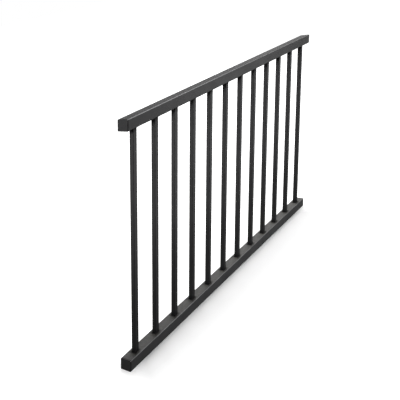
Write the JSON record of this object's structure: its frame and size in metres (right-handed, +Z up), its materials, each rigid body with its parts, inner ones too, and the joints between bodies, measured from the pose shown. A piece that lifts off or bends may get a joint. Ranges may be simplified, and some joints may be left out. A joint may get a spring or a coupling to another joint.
{
  "type": "aluminium stair railing panel",
  "caption": "Raked stair railing panel with two parallel box-section rails and plumb square balusters, charcoal powder coated.",
  "frame": {"origin": "middle of the outer face of the bottom rail's lower end cap", "axes": "+X level along the run towards the upper end, +Y across the panel, +Z up"},
  "size_m": [1.369, 0.05, 1.3539],
  "materials": {
    "rail_coat": "satin",
    "baluster_coat": "satin",
    "cap_coat": "satin"
  },
  "bodies": {
    "root": {"bottom_rail": "rail_coat", "top_rail": "rail_coat", "baluster_01": "baluster_coat", "baluster_02": "baluster_coat", "baluster_03": "baluster_coat", "baluster_04": "baluster_coat", "baluster_05": "baluster_coat", "baluster_06": "baluster_coat", "baluster_07": "baluster_coat", "baluster_08": "baluster_coat", "baluster_09": "baluster_coat", "baluster_10": "baluster_coat", "baluster_11": "baluster_coat", "baluster_12": "baluster_coat", "bottom_rail_lower_cap": "cap_coat", "bottom_rail_upper_cap": "cap_coat", "top_rail_lower_cap": "cap_coat", "top_rail_upper_cap": "cap_coat"}
  },
  "joints": []
}
